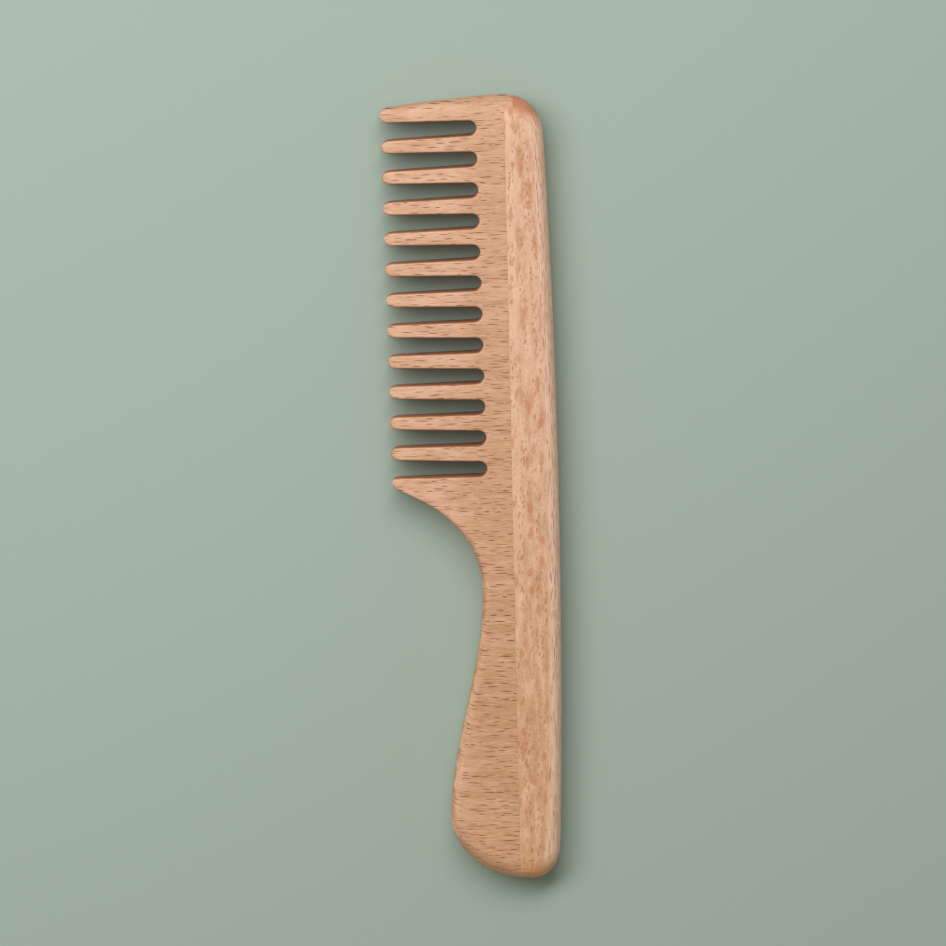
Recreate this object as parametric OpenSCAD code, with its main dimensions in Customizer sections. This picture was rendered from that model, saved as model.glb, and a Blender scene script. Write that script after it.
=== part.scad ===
// A wide-toothed hair comb with a handle, made of two beech boards.
// The tooth board's grain runs along the teeth and the spine's grain along the comb.
// The boards are joined by a glued tongue and groove before the blank is shaped.

/* [Comb] */
// Thickness of the two boards
thickness = 9.5; // [7:0.1:12]
// Thickness of the teeth just before their tips
tip_thickness = 6.6; // [5:0.1:7]

/* [Teeth] */
// Number of gaps sawn between the teeth
gap_count = 12; // [6:1:14]
// Distance from one gap to the next
gap_pitch = 7.07; // [6.6:0.01:8]
// Width of a gap at its round root
gap_width = 3.35; // [2.6:0.05:3.8]
// Angle at which each wall of a gap opens towards the tips
gap_flare = 1; // [0.5:0.1:1.6]
// Length of the teeth, from the bottom of a gap to the tip line
tooth_length = 21.9; // [19:0.1:28]
// Length of the rounded end of a tooth
tip_length = 2.1; // [1.2:0.1:2.4]
// Angle between the row of teeth and the glue line
row_skew = 0.6; // [0:0.1:1.5]
// Angle that each gap turns from the one before it
fan_step = 0.2; // [0:0.05:0.3]
// Width of the first tooth where its rounded end starts
first_tooth_width = 3.4; // [2.8:0.05:4.5]
// Width of the last tooth where its rounded end starts
last_tooth_width = 3.1; // [2.8:0.05:4.5]
// Wood between the glue line and the bottom of the last gap
root_margin = 5.5; // [4.5:0.1:7]

/* [Head] */
// Distance from the first gap's axis to the top of the comb
head_length = 7.3; // [7:0.1:10]

/* [Handle] */
// Distance from the last gap's axis to the end of the handle
handle_length = 94.6; // [80:0.2:120]
// Distance from the last gap's axis to the neck, where the handle is narrowest
neck_drop = 28.2; // [22:0.1:34]
// Width of the tooth board at the neck
neck_width = 7.15; // [6.8:0.05:9]
// Width of the tooth board where the handle is widest
palm_width = 15.5; // [10:0.1:17]
// Distance from the widest part of the handle to its end
palm_height = 14.3; // [13:0.1:20]
// Angle at which the hook under the last tooth leaves the tooth row
hook_angle = 23.6; // [15:0.1:30]

/* [Spine] */
// Width of the spine at the handle's end
foot_width = 9.4; // [8.8:0.1:12]
// Width of the spine at the toothed end
head_width = 8.9; // [8:0.1:12]
// Height of the spine's bow between its two ends
spine_bow = 1.5; // [0:0.1:3]

/* [Joint] */
// Length of the tongue on the tooth board
tongue_length = 2; // [1.5:0.1:3]
// Thickness of the spine's cheeks on both sides of the tongue
cheek = 0.95; // [0.8:0.05:2]
// Thickness of the cured glue around the tongue
glue_gap = 0.1; // [0.08:0.01:0.2]

/* [Rounding] */
// Roundness of the edges: 1 is a plain chamfer and 2 an ellipse
edge_shape = 2; // [1.3:0.1:2.4]
// Depth of a rounded edge, as a multiple of its width
edge_ratio = 1.2; // [0.8:0.05:1.4]
// Flat land left in the middle of the thickness
edge_land = 0.6; // [0.3:0.1:1.2]
// Width of the rounding on the walls of the gaps
gap_edge = 0.5; // [0.35:0.05:0.7]
// Width of the rounding on the tooth tips
tip_edge = 0.65; // [0.4:0.05:0.75]
// Width of the rounding on the hook and the neck
hook_edge = 1.6; // [0.8:0.1:2.2]
// Width of the rounding on the handle's palm side
palm_edge = 2.2; // [1.7:0.1:3]
// Width of the rounding on the spine's long edge
spine_edge = 3.5; // [2:0.1:4]
// Width of the rounding at the spine's two corners
corner_edge = 4.3; // [3.5:0.1:5]
// Width of the rounding across both ends of the joint
end_edge = 5.5; // [3:0.1:5.8]
// How far the faces of a tooth curve down towards its tip
tip_crown = 0.9; // [0.3:0.1:1.2]
// Segments in each rounded edge
edge_steps = 4; // [3:1:5]

/* [Hidden] */

// Colours of the finished wood and of the glue
board_colour = "#D9AE86";
spine_colour = "#E6BE97";
glue_colour = "#A9764D";

// Segments in each stretch of the outline
top_steps = 8;
tip_steps = 8;
root_steps = 8;
hook_steps = 10;
handle_steps = 12;
palm_steps = 8;
foot_steps = 6;
spine_steps = 6;
corner_steps = 8;

// Levels and places that follow from the sizes
half = thickness / 2;
gap_radius = gap_width / 2;
tip_reach = tooth_length - gap_radius;
flank_length = tip_reach - tip_length;
// Distance from a gap's centre at which the faces of the teeth start to slope
bend_start = 0.9;
// Length over which the faces curve down to the tips
crown_length = 4;
crown_start = tip_reach - crown_length;
last_gap = [-root_margin - gap_radius, handle_length];
row_axis = [-sin(row_skew), cos(row_skew)];
row_reach = [-cos(row_skew), -sin(row_skew)];
first_gap = last_gap + (gap_count - 1) * gap_pitch * row_axis;
top_y = first_gap[1] + head_length;
neck = [-neck_width, handle_length - neck_drop];
palm = [-palm_width, palm_height];

// The joint's two ends are the comb's lowest and highest points
end_shift = 2;
top_shift = 0.5;
end_point = [end_shift, 0];
top_point = [-top_shift, top_y];

// Heights of the two rounded corners of the spine
foot_height = 9.6;
corner_height = 10.5;
foot = [foot_width, foot_height];
head = [head_width, top_y - corner_height];

// Where the middle control points of each curve lie, as shares of its span
top_pull = 0.24;
hook_pull = [0.32, 0.45];
handle_pull = [0.35, 0.32];
palm_pull = [0.38, 0.72];
foot_pull = [0.45, 0.75];
corner_pull = [0.59, 0.66];
// A cubic curve reaches this share of the way to its two middle control points
cubic_reach = 0.75;

// Angle at which the top edge falls to the first tip
top_fall = 7.2;
// Width of the rounding where the top edge meets the first tip
shoulder_edge = 2 * gap_edge;

// The direction along gap i, from its root to the tips
function gap_direction(i) =
    let (a = row_skew + fan_step * ((gap_count - 1) / 2 - i))
    [-cos(a), -sin(a)];

// The direction across gap i, towards the toothed end
function gap_across(i) = let (d = gap_direction(i)) [d[1], -d[0]];

// The centre of gap i's round root
function gap_centre(i) = last_gap + (gap_count - 1 - i) * gap_pitch * row_axis;

// A point on a wall of gap i: side 1 is towards the toothed end, and d is the distance from the root's centre
function wall_point(i, side, d) =
    gap_centre(i) + d * gap_direction(i) + side * (gap_radius + d * tan(gap_flare)) * gap_across(i);

function bezier(p, t) =
    pow(1 - t, 3) * p[0] + 3 * pow(1 - t, 2) * t * p[1] + 3 * (1 - t) * t * t * p[2] + t * t * t * p[3];

// The inward normal of a curve that runs anticlockwise
function bezier_inward(p, t) =
    let (d = 3 * pow(1 - t, 2) * (p[1] - p[0]) + 6 * (1 - t) * t * (p[2] - p[1]) + 3 * t * t * (p[3] - p[2]))
    [-d[1], d[0]] / norm(d);

// An outline station is its point on the widest outline, its inward direction and the width of its rounding
function station(point, inward, edge) = [point, inward, edge];

// A stretch of stations along a curve, without its last point: the rounding's width eases from one end to the other
function stretch(p, steps, edge_from, edge_to) = [
    for (k = [0:steps - 1])
        let (t = k / steps, share = (1 - cos(180 * t)) / 2)
        station(bezier(p, t), bezier_inward(p, t), edge_from + (edge_to - edge_from) * share)
];

// The curves of the outline, each as four control points
shoulder = wall_point(0, 1, flank_length) + first_tooth_width * gap_across(0);
top_slope = [-cos(top_fall), -sin(top_fall)];
top_span = norm(top_point - shoulder);
top_curve = [top_point, top_point - [top_pull * top_span, 0], shoulder - top_pull * top_span * top_slope, shoulder];

last_wall = wall_point(gap_count - 1, -1, flank_length);
hook_start = last_wall - last_tooth_width * gap_across(gap_count - 1);
hook_slope = [cos(hook_angle), -sin(hook_angle)];
hook_span = norm(neck - hook_start);
hook_curve = [
    hook_start,
    hook_start + hook_pull[0] * hook_span * hook_slope,
    neck + [0, hook_pull[1] * hook_span],
    neck
];

handle_span = neck[1] - palm[1];
handle_curve = [
    neck,
    neck - [0, handle_pull[0] * handle_span],
    palm + [0, handle_pull[1] * handle_span],
    palm
];
palm_curve = [
    palm,
    palm - [0, palm_pull[0] * palm_height],
    end_point - [palm_pull[1] * palm_width, 0],
    end_point
];
foot_curve = [
    end_point,
    end_point + [foot_pull[0] * foot_width, 0],
    foot - [0, foot_pull[1] * foot_height],
    foot
];
corner_curve = [
    head,
    head + [0, corner_pull[0] * corner_height],
    top_point + [corner_pull[1] * (head_width + top_shift), 0],
    top_point
];

// The spine's long edge is one shallow bow, with stations down the handle and across from each tooth
bow_heights = concat(
    [for (k = [0:spine_steps - 1]) foot[1] + (handle_length - gap_pitch / 2 - foot[1]) * k / spine_steps],
    [for (i = [gap_count - 1:-1:1]) gap_centre(i)[1] - gap_pitch / 2]
);
bow_places = [for (y = bow_heights) (y - foot[1]) / (head[1] - foot[1])];
function bow_point(t) = [
    foot[0] + (head[0] - foot[0]) * t + 4 * spine_bow * t * (1 - t),
    foot[1] + (head[1] - foot[1]) * t
];
function bow_edge(t) = spine_edge + (corner_edge - spine_edge) * pow(2 * t - 1, 4);
function bow_inward(t) =
    let (d = [head[0] - foot[0] + 4 * spine_bow * (1 - 2 * t), head[1] - foot[1]])
    [-d[1], d[0]] / norm(d);

// The rounded end between two tooth walls: both walls' directions shape it
function tip_curve(from, from_direction, to, to_direction) =
    let (pull = tip_length / cubic_reach)
    [from, from + pull * from_direction, to + pull * to_direction, to];

function tip_stations(p) = [
    for (k = [1:tip_steps - 1])
        let (t = k / tip_steps)
        station(bezier(p, t), bezier_inward(p, t), gap_edge + (tip_edge - gap_edge) * pow(sin(180 * t), 2))
];

// The stations on a wall of a gap, at the places where the face of the tooth bends
wall_places = [0, bend_start, crown_start, flank_length];
function wall_stations(i, side, places) = [
    for (d = places) station(wall_point(i, side, d), side * gap_across(i), gap_edge)
];

// The stations round the root of a gap, between its two walls
function root_stations(i) = [
    for (k = [1:root_steps - 1])
        let (
            a = 90 - 180 * k / root_steps,
            out = sin(a) * gap_across(i) - cos(a) * gap_direction(i)
        )
        station(gap_centre(i) + gap_radius * out, out, gap_edge)
];

// One gap with the tip that follows it
inward_places = [for (k = [len(wall_places) - 1:-1:0]) wall_places[k]];
function next_tip(i) = i < gap_count - 1
    ? tip_curve(wall_point(i, -1, flank_length), gap_direction(i),
                wall_point(i + 1, 1, flank_length), gap_direction(i + 1))
    : tip_curve(last_wall, gap_direction(i), hook_start, -hook_slope);
function gap_stations(i) = concat(
    wall_stations(i, 1, inward_places),
    root_stations(i),
    wall_stations(i, -1, wall_places),
    tip_stations(next_tip(i))
);

first_tip = tip_curve(shoulder, top_slope, wall_point(0, 1, flank_length), gap_direction(0));

// The whole outline, anticlockwise from the top of the joint
stations = concat(
    stretch(top_curve, top_steps, end_edge, shoulder_edge),
    [station(shoulder, bezier_inward(top_curve, 1), shoulder_edge)],
    tip_stations(first_tip),
    [for (i = [0:gap_count - 1]) each gap_stations(i)],
    stretch(hook_curve, hook_steps, gap_edge, hook_edge),
    stretch(handle_curve, handle_steps, hook_edge, palm_edge),
    stretch(palm_curve, palm_steps, palm_edge, end_edge),
    stretch(foot_curve, foot_steps, end_edge, corner_edge),
    [for (t = bow_places) station(bow_point(t), bow_inward(t), bow_edge(t))],
    stretch(corner_curve, corner_steps, corner_edge, end_edge)
);

// Places of the stretches in the list of stations
count = len(stations);
wall_count = len(wall_places);
gap_size = 2 * wall_count + root_steps - 1 + tip_steps - 1;
gaps_at = top_steps + tip_steps;
hook_at = gaps_at + gap_count * gap_size;
neck_at = hook_at + hook_steps;
end_at = neck_at + handle_steps + palm_steps / 2;
first_base = len([for (k = [0:top_steps - 1]) if (stations[k][0][0] > gap_centre(0)[0]) k]);

// Half the thickness at a point of a face: teeth thin towards their tips, and the handle doesn't
function ramp(x) = max(0, min(1, x));
function half_at(p) =
    let (reach = (p - last_gap) * row_reach)
    p[1] < neck[1] ? half : half
        - (half - tip_thickness / 2) * ramp((reach - bend_start) / (tip_reach - bend_start))
        - tip_crown * pow(ramp((reach - crown_start) / crown_length), 2);

// The point of a station at a step of its rounding: step 0 is the edge of the flat face
power = 2 / edge_shape;
function rounded(s, step) =
    let (
        a = 90 * step / edge_steps,
        flat = s[0] + s[2] * s[1],
        high = half_at(flat),
        depth = min(edge_ratio * s[2], high - edge_land / 2),
        place = s[0] + s[2] * (1 - pow(sin(a), power)) * s[1]
    )
    [place[0], place[1], high - depth * (1 - pow(cos(a), power))];

rings = concat(
    [for (k = [0:edge_steps]) [for (s = stations) rounded(s, k)]],
    [for (k = [edge_steps:-1:0]) [for (s = stations) let (p = rounded(s, k)) [p[0], p[1], -p[2]]]]
);
ring_count = len(rings);

// Triangles between two chains of stations: each step moves on where the triangle isn't folded over,
// and then where the crossing edge is shorter
function apart(a, b) = norm(rings[0][a] - rings[0][b]);
function folded(a, b, c) =
    let (u = rings[0][b] - rings[0][a], v = rings[0][c] - rings[0][a])
    u[0] * v[1] < u[1] * v[0];
function left_first(left, right, i, j) =
    let (
        left_folded = folded(left[i], left[i + 1], right[j]),
        right_folded = folded(left[i], right[j + 1], right[j])
    )
    left_folded == right_folded ? apart(left[i + 1], right[j]) <= apart(left[i], right[j + 1]) : right_folded;
function stitch(left, right, i = 0, j = 0) =
    i == len(left) - 1 && j == len(right) - 1
        ? []
        : j == len(right) - 1 || (i < len(left) - 1 && left_first(left, right, i, j))
            ? concat([[left[i], left[i + 1], right[j]]], stitch(left, right, i + 1, j))
            : concat([[left[i], right[j + 1], right[j]]], stitch(left, right, i, j + 1));

function span(from, to) = from <= to ? [for (k = [from:to]) k] : [for (k = [from:-1:to]) k];
function gap_start(i) = gaps_at + i * gap_size;
function root_chain(i) = span(gap_start(i) + wall_count - 1, gap_start(i) + wall_count + root_steps - 1);
function tip_top(i) = gap_start(i) + 2 * wall_count + root_steps - 1 + tip_steps / 2 - 1;

// The flat face, from the chains of the body and of each tooth
body_left = concat([first_base], [for (i = [0:gap_count - 1]) each root_chain(i)], span(neck_at, end_at));
body_right = concat(span(first_base, 0), span(count - 1, end_at));
first_face = stitch(
    span(first_base, top_steps + tip_steps / 2),
    span(gap_start(0) + wall_count - 1, top_steps + tip_steps / 2)
);
function tooth_face(i) = stitch(
    span(gap_start(i) + wall_count + root_steps - 1, tip_top(i)),
    span(i < gap_count - 1 ? gap_start(i + 1) + wall_count - 1 : neck_at, tip_top(i))
);
face = concat(
    stitch(body_left, body_right),
    first_face,
    [for (i = [0:gap_count - 1]) each tooth_face(i)]
);
sound_face = [for (t = face) if (t[0] != t[1] && t[1] != t[2] && t[0] != t[2]) t];

wall_faces = [
    for (r = [0:ring_count - 2])
        for (k = [0:count - 1])
            let (next = (k + 1) % count, a = r * count, b = a + count)
            each [[a + k, a + next, b + next], [a + k, b + next, b + k]]
];

// The glued blank after shaping, lying on its back with the joint along Y
module blank() {
    base = (ring_count - 1) * count;
    polyhedron(
        points = [for (r = rings) each r],
        faces = concat(
            [for (t = sound_face) [t[0], t[2], t[1]]],
            [for (t = sound_face) [t[0] + base, t[1] + base, t[2] + base]],
            wall_faces
        )
    );
}

// Everything on the teeth's side of the joint, grown by a gap: a cross-section pushed along the comb
module tongue_side(grow) {
    tongue_half = half - cheek;
    far = 2 * (root_margin + tooth_length);
    translate([0, top_y + thickness, 0])
        rotate([90, 0, 0])
            linear_extrude(height = top_y + 2 * thickness)
                polygon([
                    [-far, -thickness],
                    [grow, -thickness],
                    [grow, -tongue_half - grow],
                    [tongue_length + grow, -tongue_half - grow],
                    [tongue_length + grow, tongue_half + grow],
                    [grow, tongue_half + grow],
                    [grow, thickness],
                    [-far, thickness]
                ]);
}

// The comb's own origin is under the middle of its outline
all_x = [for (s = stations) s[0][0]];
all_y = [for (s = stations) s[0][1]];
centre = [(max(all_x) + min(all_x)) / 2, (max(all_y) + min(all_y)) / 2, -half];
module placed() {
    translate(-centre) children();
}

module tooth_board() {
    color(board_colour) placed() intersection() {
        blank();
        tongue_side(0);
    }
}

module spine() {
    color(spine_colour) placed() difference() {
        blank();
        tongue_side(glue_gap);
    }
}

module glue_line() {
    color(glue_colour) placed() intersection() {
        blank();
        difference() {
            tongue_side(glue_gap);
            tongue_side(0);
        }
    }
}

tooth_board();
spine();
glue_line();
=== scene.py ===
import math

import bmesh
import bpy
from mathutils import Matrix, Vector


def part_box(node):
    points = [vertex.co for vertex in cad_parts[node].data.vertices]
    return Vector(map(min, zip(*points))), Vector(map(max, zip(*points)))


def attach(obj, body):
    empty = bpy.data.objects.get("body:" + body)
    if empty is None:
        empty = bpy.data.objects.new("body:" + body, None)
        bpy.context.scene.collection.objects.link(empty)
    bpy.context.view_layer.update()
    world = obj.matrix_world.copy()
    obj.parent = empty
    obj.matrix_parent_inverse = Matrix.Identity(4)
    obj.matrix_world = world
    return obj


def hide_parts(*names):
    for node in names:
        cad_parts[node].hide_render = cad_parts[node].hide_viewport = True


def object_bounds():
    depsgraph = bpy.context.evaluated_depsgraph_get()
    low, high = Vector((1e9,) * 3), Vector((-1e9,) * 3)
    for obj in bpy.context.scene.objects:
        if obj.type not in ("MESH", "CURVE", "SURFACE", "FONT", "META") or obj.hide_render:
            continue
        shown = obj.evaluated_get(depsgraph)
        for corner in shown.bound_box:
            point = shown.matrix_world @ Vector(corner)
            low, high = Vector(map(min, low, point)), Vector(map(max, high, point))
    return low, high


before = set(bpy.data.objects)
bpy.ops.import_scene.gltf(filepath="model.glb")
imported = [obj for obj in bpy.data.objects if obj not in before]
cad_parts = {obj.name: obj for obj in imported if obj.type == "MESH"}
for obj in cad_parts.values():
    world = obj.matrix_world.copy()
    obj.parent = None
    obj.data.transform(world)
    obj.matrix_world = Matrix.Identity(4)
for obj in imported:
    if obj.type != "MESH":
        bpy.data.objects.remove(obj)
cad_box = [list(corner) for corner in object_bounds()]

# Tooth board: one flat beech board, planed and sanded bare. Its grain runs along the teeth, so the
# cut ends of the rays show on its faces as short dark dashes. The gaps were sawn with one cutter,
# which browned their walls, and the edges were rounded over by sanding. The walls' brown also holds painted
# shade.


class Link:
    """One output of a node. An expression on it adds the Math nodes that work it out."""

    def __init__(self, finish, node, output):
        self.finish = finish
        self.node = node
        self.socket = node.outputs[output]

    def out(self, output):
        return Link(self.finish, self.node, output)

    def math(self, operation, a, b):
        return self.finish.add("ShaderNodeMath", {"operation": operation}, {0: a, 1: b})

    def __add__(self, other):
        return self.math("ADD", self, other)

    def __sub__(self, other):
        return self.math("SUBTRACT", self, other)

    def __rsub__(self, other):
        return self.math("SUBTRACT", other, self)

    def __mul__(self, other):
        return self.math("MULTIPLY", self, other)

    def __truediv__(self, other):
        return self.math("DIVIDE", self, other)

    def __gt__(self, other):
        return self.math("GREATER_THAN", self, other)

    def __abs__(self):
        return self.math("ABSOLUTE", self, 0)

    __radd__ = __add__
    __rmul__ = __mul__


class Finish:
    """The look of one piece: a material, one way to add any node to it, and its colour so far."""

    def __init__(self, name, colour):
        self.material = bpy.data.materials.new(name)
        self.material.use_nodes = True
        self.tree = self.material.node_tree
        self.shader = self.tree.nodes["Principled BSDF"]
        self.colour = colour

    def fill(self, socket, value):
        if isinstance(value, Link):
            self.tree.links.new(value.socket, socket)
        else:
            socket.default_value = value

    def add(self, kind, settings, inputs, output=0):
        node = self.tree.nodes.new(kind)
        for name, value in settings.items():
            setattr(node, name, value)
        for name, value in inputs.items():
            self.fill(node.inputs[name], value)
        return Link(self, node, output)

    def wear(self, **sockets):
        """Gives the shader its colour and what else is named."""
        self.fill(self.shader.inputs["Base Color"], self.colour)
        for name, value in sockets.items():
            self.fill(self.shader.inputs[name.replace("_", " ")], value)

    def lay(self, colour, mask):
        """Lays a colour over the ones before it, fully where the mask is 1."""
        self.colour = self.mix(mask, self.colour, colour)

    def mix(self, share, first, second):
        return self.add("ShaderNodeMix", {"data_type": "RGBA"}, {0: share, 6: first, 7: second}, 2)

    def step(self, value, start, full):
        """A mask that grows smoothly from 0 at the start value to 1 at the full one."""
        return self.add("ShaderNodeMapRange", {"interpolation_type": "SMOOTHSTEP"},
                        {"Value": value, "From Min": start, "From Max": full})

    def split(self, vector):
        first = self.add("ShaderNodeSeparateXYZ", {}, {0: vector})
        return first, first.out(1), first.out(2)

    def join(self, x, y, z):
        return self.add("ShaderNodeCombineXYZ", {}, {0: x, 1: y, 2: z})

    def millimetres(self):
        """Where a point of the piece lies, along X, Y and Z."""
        point = self.add("ShaderNodeTexCoord", {}, {}, "Object")
        return self.split(self.add("ShaderNodeVectorMath", {"operation": "SCALE"}, {0: point, "Scale": 1000}))

    def facing(self):
        """How squarely the surface faces along X and along Y, from -1 to 1."""
        return self.split(self.add("ShaderNodeTexCoord", {}, {}, "Normal"))[:2]

    def patches(self, spot, size, detail=2, shift=(0, 0, 0)):
        """Soft noise with patches of the given sizes, in millimetres along the spot's three axes."""
        scaled = [place / length + move for place, length, move in zip(spot, size, shift)]
        return self.add("ShaderNodeTexNoise", {},
                        {"Vector": self.join(*scaled), "Scale": 1, "Detail": detail})

    def relief(self, height):
        """The fine relief that sanding leaves between hard and soft wood."""
        return self.add("ShaderNodeBump", {}, {"Strength": 0.3, "Distance": 0.00008, "Height": height})


def paint(*seen):
    """A colour as it is seen, in steps of 255, turned into the linear light that a shader counts in."""
    shares = [channel / 255 for channel in seen]
    light = [share / 12.92 if share <= 0.04045 else ((share + 0.055) / 1.055) ** 2.4 for share in shares]
    return light + [1]


def rays(wood, spot, cell, half, share):
    """Beech rays, each a thin sheet along the grain that is cut as a narrow lens. The spot is along,
    across and through the grain. A cell of the wood, of the given sizes in millimetres, holds one ray
    of the given half length and half width, in that share of the cells."""
    place = wood.join(*[part / length for part, length in zip(spot, cell)])
    cells = wood.add("ShaderNodeTexVoronoi", {"voronoi_dimensions": "3D"}, {"Vector": place, "Scale": 1})
    away = wood.add("ShaderNodeVectorMath", {"operation": "SUBTRACT"}, {0: place, 1: cells.out("Position")})
    lengthwise, sideways = wood.split(away)[:2]
    chance = wood.add("ShaderNodeSeparateColor", {}, {0: cells.out("Color")})
    longer = chance.out("Red") * 0.8 + 0.6
    darker = chance.out("Green") * 0.4 + 0.6
    present = chance.out("Blue") > 1 - share
    length = lengthwise * (cell[0] / half[0]) / longer
    width = abs(sideways) * (cell[1] / half[1])
    return (1 - wood.step(length * length + width, 0.3, 1)) * present * darker


def put(name, data):
    """Puts a new object into the scene."""
    thing = bpy.data.objects.new(name, data)
    bpy.context.scene.collection.objects.link(thing)
    return thing


def dress(piece, finish):
    """Gives a piece its one material."""
    piece.data.materials.clear()
    piece.data.materials.append(finish.material)


def sanded(node):
    """A copy of a CAD node with its loose triangles merged. Its rounded edges are shaded smoothly,
    and only edges sharper than the crisp angle stay sharp."""
    same_point = 0.000002
    crisp = math.radians(42)
    mesh = bpy.data.meshes.new(node + "_sanded")
    shape = bmesh.new()
    shape.from_mesh(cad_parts[node].data)
    bmesh.ops.remove_doubles(shape, verts=shape.verts, dist=same_point)
    for face in shape.faces:
        face.smooth = True
    for rim in shape.edges:
        rim.smooth = len(rim.link_faces) == 2 and rim.calc_face_angle() < crisp
    shape.to_mesh(mesh)
    shape.free()
    piece = put(node + "_sanded", mesh)
    even = piece.modifiers.new("even", "WEIGHTED_NORMAL")
    even.keep_sharp = True
    even.weight = 50
    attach(piece, "root")
    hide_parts(node)
    return piece


board_neck = paint(203, 151, 112)
board_head = paint(212, 165, 131)
board_foot = paint(218, 165, 123)
dull_patch = paint(192, 140, 104)
pale_band = paint(224, 178, 146)
pale_streak = paint(230, 188, 156)
brown_streak = paint(176, 124, 92)
brown_speck = paint(164, 112, 80)
brown_hair = paint(170, 116, 84)
pale_hair = paint(236, 196, 166)
rosy_tooth = paint(232, 184, 160)
saw_browning_and_painted_shade = paint(146, 82, 46)
brown_end_grain = paint(190, 120, 84)
pale_end_grain = paint(228, 186, 152)
faint_ray = paint(134, 86, 58)
dark_ray = paint(66, 34, 18)

board_wood = Finish("beech_along_the_teeth", board_neck)
x, y, z = board_wood.millimetres()
facing_x, facing_y = board_wood.facing()

# The grain wanders a little on its way across the board, and in the handle it slants through the
# thickness, so its lines drift along the rounded edge there
wander = 1.6
slant = 0.45
sway = board_wood.patches((x, y, z), (18, 8, 12)) - 0.5
across = y + z * board_wood.step(y, -20, -50) * slant + sway * wander
grain = (x, across, z)

tone = board_wood.patches(grain, (30, 3.5, 9), detail=3)
band = board_wood.patches(grain, (12, 0.9, 2), shift=(0, 0, 5))
streak = board_wood.patches(grain, (2.6, 0.24, 0.7))
speck = board_wood.patches(grain, (0.8, 0.16, 0.3), detail=1)
hair = board_wood.patches(grain, (5, 0.13, 0.5), shift=(3, 0, 2))
board_wood.lay(board_head, board_wood.step(y, -60, 60))
board_wood.lay(board_foot, board_wood.step(y, -50, -88) * 0.9)
board_wood.lay(dull_patch, board_wood.step(tone, 0.62, 0.35) * 0.5)
board_wood.lay(pale_band, board_wood.step(band, 0.45, 0.7) * 0.5)
board_wood.lay(pale_streak, board_wood.step(streak, 0.48, 0.78) * 0.5)
board_wood.lay(brown_streak, board_wood.step(streak, 0.5, 0.25) * 0.5)
board_wood.lay(brown_speck, board_wood.step(speck, 0.58, 0.8) * 0.35)
board_wood.lay(brown_hair, board_wood.step(hair, 0.52, 0.7) * 0.22)
board_wood.lay(pale_hair, board_wood.step(hair, 0.46, 0.3) * 0.25)

teeth = board_wood.step(x, 1.5, -5)
flush = board_wood.patches(grain, (7, 1.4, 3), shift=(0, 0, 9))
board_wood.lay(rosy_tooth, teeth * board_wood.step(flush, 0.35, 0.62) * 0.5)

# The walls of the gaps and the hook are painted dark brown: partly the browning of the cutter, partly
# painted shade deep in the narrow gaps. The top edge and the handle's side are only a little browner
# than the faces, and the end grain at the tips and the palm is patchy.
above_gaps = 84.6
below_hook = -20
sawn = board_wood.step(y, above_gaps + 1.4, above_gaps) * board_wood.step(y, below_hook - 6, below_hook)
walls_browned_and_shaded = board_wood.step(abs(facing_y), 0.45, 0.98) * (sawn * 0.8 + 0.2)
ends = board_wood.step(abs(facing_x), 0.35, 0.95)
patchy = board_wood.patches((x, y, z), (5, 4, 2), detail=3, shift=(0, 0, 3))
# The brown laid on the walls is partly the cutter's browning and partly painted shade in the gaps
board_wood.lay(saw_browning_and_painted_shade, walls_browned_and_shaded * 0.75)
end_grain = board_wood.mix(board_wood.step(patchy, 0.42, 0.58), brown_end_grain, pale_end_grain)
board_wood.lay(end_grain, ends * 0.6)

faint = rays(board_wood, (x + 40, across + 7, z), cell=(2.3, 0.6, 6), half=(1, 0.09), share=0.7)
dashes = rays(board_wood, grain, cell=(3.4, 1.25, 9), half=(1.6, 0.12), share=0.72)
board_wood.lay(faint_ray, faint * 0.45)
board_wood.lay(dark_ray, dashes * (1 - walls_browned_and_shaded * 0.75) * (1 - ends * 0.4))
board_wood.wear(Roughness=board_wood.step(streak, 0.2, 0.8) * 0.12 + 0.46, Specular_IOR_Level=0.3,
                Normal=board_wood.relief(streak * 0.5 + speck * 0.3 - dashes * 0.2))

tooth_board = sanded("tooth_board")
dress(tooth_board, board_wood)

# Spine: a narrow beech board, sawn so that its grain runs along the comb and its rays lie nearly in
# its faces, where they show as flecks. Its long edge is sanded round, and there the rays are cut
# across and show as thin dashes. It is glued to the tooth board with a groove over its tongue.

spine_neck = paint(208, 157, 118)
spine_head = paint(220, 176, 146)
spine_foot = paint(220, 168, 126)
brown_patch = paint(198, 141, 104)
pale_patch = paint(232, 190, 156)
pale_fibre = paint(234, 196, 166)
brown_grit = paint(184, 130, 96)
pale_grit = paint(238, 202, 172)
pale_strip = paint(234, 192, 160)
brown_fleck = paint(170, 108, 76)
brown_blot = paint(196, 128, 88)
head_edge_highlight = paint(255, 208, 182)
foot_edge_highlight = paint(255, 214, 184)
brown_stripe = paint(218, 158, 126)
pale_stripe = paint(255, 226, 208)
brown_thread = paint(150, 82, 50)
foot_end_grain = paint(240, 168, 116)
head_end_grain = paint(180, 104, 66)

spine_wood = Finish("beech_along_the_spine", spine_neck)
x, y, z = spine_wood.millimetres()
facing_x, facing_y = spine_wood.facing()
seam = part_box("spine")[0][0] * 1000
sway = spine_wood.patches((x, y, z), (5, 12, 6)) - 0.5
ragged = (spine_wood.patches((x, y, z), (0.9, 0.9, 2)) - 0.5) * 1.6

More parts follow.
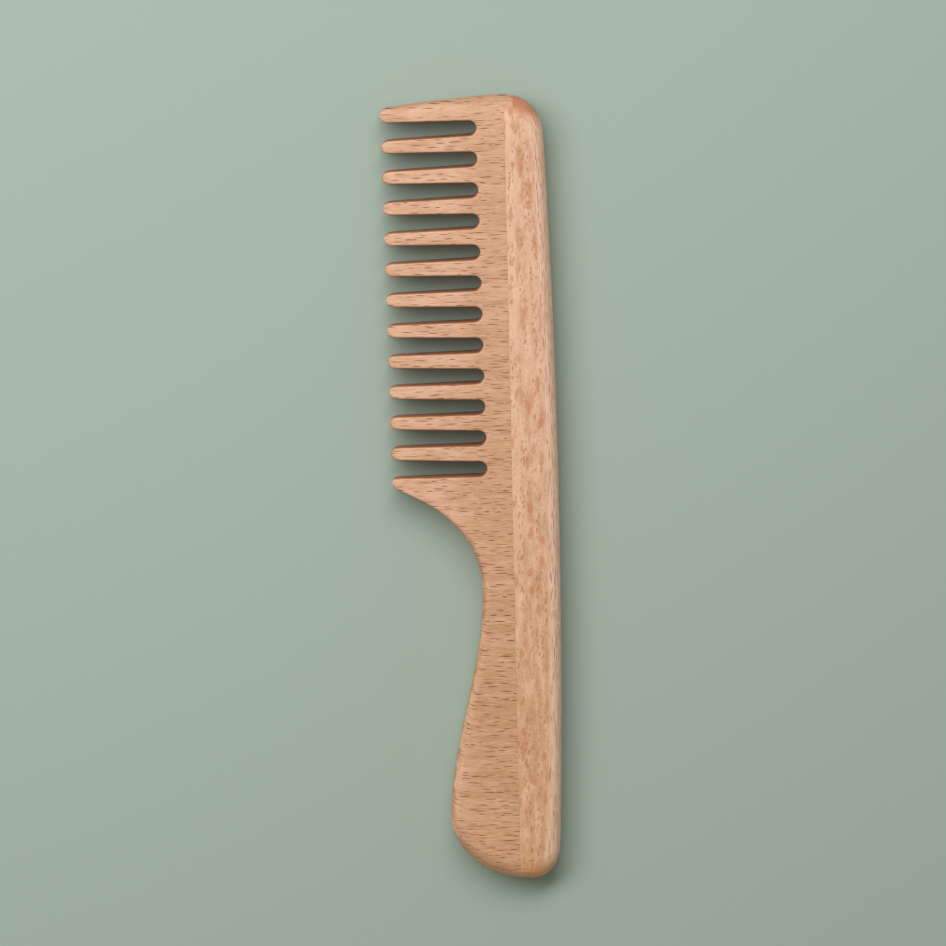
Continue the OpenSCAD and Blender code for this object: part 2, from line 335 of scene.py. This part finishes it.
tone = spine_wood.patches((x + sway * 2, y, z), (1.5, 6, 5), detail=3)
fibre = spine_wood.patches((x + sway, y, z), (0.22, 1.8, 0.25))
grit = spine_wood.patches((x, y, z), (0.42, 0.34, 0.4), detail=3)
strip = spine_wood.step(x + ragged * 0.3, seam + 2.4, seam + 1.6) * spine_wood.step(y, -80, 10)
spine_wood.lay(spine_head, spine_wood.step(y, -75, 30))
spine_wood.lay(spine_foot, spine_wood.step(y, -50, -85) * 0.8)
spine_wood.lay(brown_patch, spine_wood.step(tone, 0.48, 0.66) * 0.7)
spine_wood.lay(pale_patch, spine_wood.step(tone, 0.5, 0.34) * 0.65)
spine_wood.lay(pale_fibre, spine_wood.step(fibre, 0.48, 0.75) * 0.4)
spine_wood.lay(brown_grit, spine_wood.step(grit, 0.5, 0.75) * 0.4)
spine_wood.lay(pale_grit, spine_wood.step(grit, 0.45, 0.3) * 0.3)
spine_wood.lay(pale_strip, strip * 0.45)

# On the flat faces the rays lie nearly in the surface, as ragged flecks in rows and broad blots
edge = spine_wood.step(facing_x, 0.1, 0.6)
flat = 1 - edge
rows = spine_wood.patches((x + sway * 2, y, z), (1.5, 16, 3), shift=(0, 0, 7))
flecks = rays(spine_wood, (y + ragged, x + ragged * 0.5, z), cell=(1.5, 0.9, 3), half=(0.7, 0.34), share=0.75)
blots = rays(spine_wood, (y + 31 + ragged, x + 5 + ragged * 0.6, z),
             cell=(5.5, 2.6, 5), half=(1.7, 0.9), share=0.4)
spine_wood.lay(brown_fleck, flecks * spine_wood.step(rows, 0.42, 0.6) * flat * 0.7)
spine_wood.lay(brown_blot, blots * flat * 0.7)

# On the rounded edge they are cut across, as thin threads among the fine stripes of the growth rings
stripes = spine_wood.patches((x, y, z), (0.3, 6, 0.3))
threads = rays(spine_wood, (y, z + 3 + sway, x * 0.4), cell=(3.4, 0.45, 6), half=(1.8, 0.08), share=0.8)
# The right-facing rounded edge is painted paler and pinker: a painted highlight, partly the paler wood of the
# band
painted_edge_highlight = spine_wood.mix(spine_wood.step(y, 70, -60), head_edge_highlight, foot_edge_highlight)
spine_wood.lay(painted_edge_highlight, edge * 0.92)
spine_wood.lay(brown_stripe, edge * spine_wood.step(stripes, 0.5, 0.66) * 0.5)
spine_wood.lay(pale_stripe, edge * spine_wood.step(stripes, 0.46, 0.34) * 0.5)
spine_wood.lay(brown_thread, edge * threads * 0.9)

# The corners of both ends show end grain, browner at the toothed end
ends = spine_wood.step(abs(facing_y) + ragged * 0.1, 0.12, 0.6)
end_grain = spine_wood.mix(spine_wood.step(y, -40, 40), foot_end_grain, head_end_grain)
spine_wood.lay(end_grain, ends * 0.75)
spine_wood.wear(Roughness=spine_wood.step(fibre, 0.2, 0.8) * 0.12 + 0.44, Specular_IOR_Level=0.3,
                Normal=spine_wood.relief(fibre * 0.6 + grit * 0.2 - threads * edge * 0.1))

spine = sanded("spine")
dress(spine, spine_wood)

# Glue line: the film of cured wood glue round the tongue, a tenth of a millimetre thick. It was
# sanded flush with both faces, so only its edge shows, as a fine brown line down the comb.

dark_glue = paint(186, 132, 100)
pale_glue = paint(214, 162, 128)
blotch = 10 / 3

cured = Finish("cured_wood_glue", dark_glue)
soaked = cured.patches(cured.millimetres(), (blotch, blotch, blotch), detail=3)
cured.lay(pale_glue, cured.step(soaked, 0.35, 0.65))
cured.wear(Roughness=0.55, Specular_IOR_Level=0.3)
dress(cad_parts["glue_line"], cured)

# The studio: a pale floor that the comb lies on, one wide soft strip lamp above the toothed end, and
# a plain pale room. The camera looks down from far off, tilted a little towards the toothed end.

floor_reach = 3
floor_gap = 0.00005
floor_mesh = bpy.data.meshes.new("studio_floor")
shape = bmesh.new()
bmesh.ops.create_grid(shape, x_segments=1, y_segments=1, size=floor_reach)
bmesh.ops.translate(shape, verts=shape.verts, vec=(0, 0, -floor_gap))
shape.to_mesh(floor_mesh)
shape.free()
floor = put("studio_floor", floor_mesh)
plain = Finish("studio_floor", paint(162, 178, 167))
plain.wear(Roughness=0.8, Specular_IOR_Level=0.1)
dress(floor, plain)

world = bpy.data.worlds.new("studio_room")
bpy.context.scene.world = world
world.use_nodes = True
room = world.node_tree.nodes["Background"]
room.inputs["Color"].default_value = (1, 0.98, 0.87, 1)
room.inputs["Strength"].default_value = 0.29

lamp_distance = 0.8
towards_lamp = Vector((-0.34, 0.6, 1)).normalized()
lamp_data = bpy.data.lights.new("soft_lamp", "AREA")
lamp_data.shape = "RECTANGLE"
lamp_data.size = 1.2
lamp_data.size_y = 0.32
lamp_data.energy = 7.3
lamp = put("soft_lamp", lamp_data)
lamp.location = towards_lamp * lamp_distance
lamp.rotation_euler = (-towards_lamp).to_track_quat("-Z", "Y").to_euler()

distance = 2.5
seen_width = 0.2158
turn = math.radians(1.27)
tilt = math.radians(5.2)
aim = Vector((0, 0.0035, cad_box[1][2] / 2))
right = Vector((math.cos(turn), -math.sin(turn), 0))
along_comb = Vector((math.sin(turn), math.cos(turn), 0))
back = Vector((0, 0, 1)) * math.cos(tilt) + along_comb * math.sin(tilt)
up = back.cross(right)
camera_data = bpy.data.cameras.new("camera")
camera_data.angle = 2 * math.atan(seen_width / 2 / distance)
camera = put("camera", camera_data)
axes = Matrix((right, up, back)).transposed().to_4x4()
camera.matrix_world = Matrix.Translation(aim + back * distance) @ axes
bpy.context.scene.camera = camera

bpy.context.scene.view_settings.view_transform = "Standard"
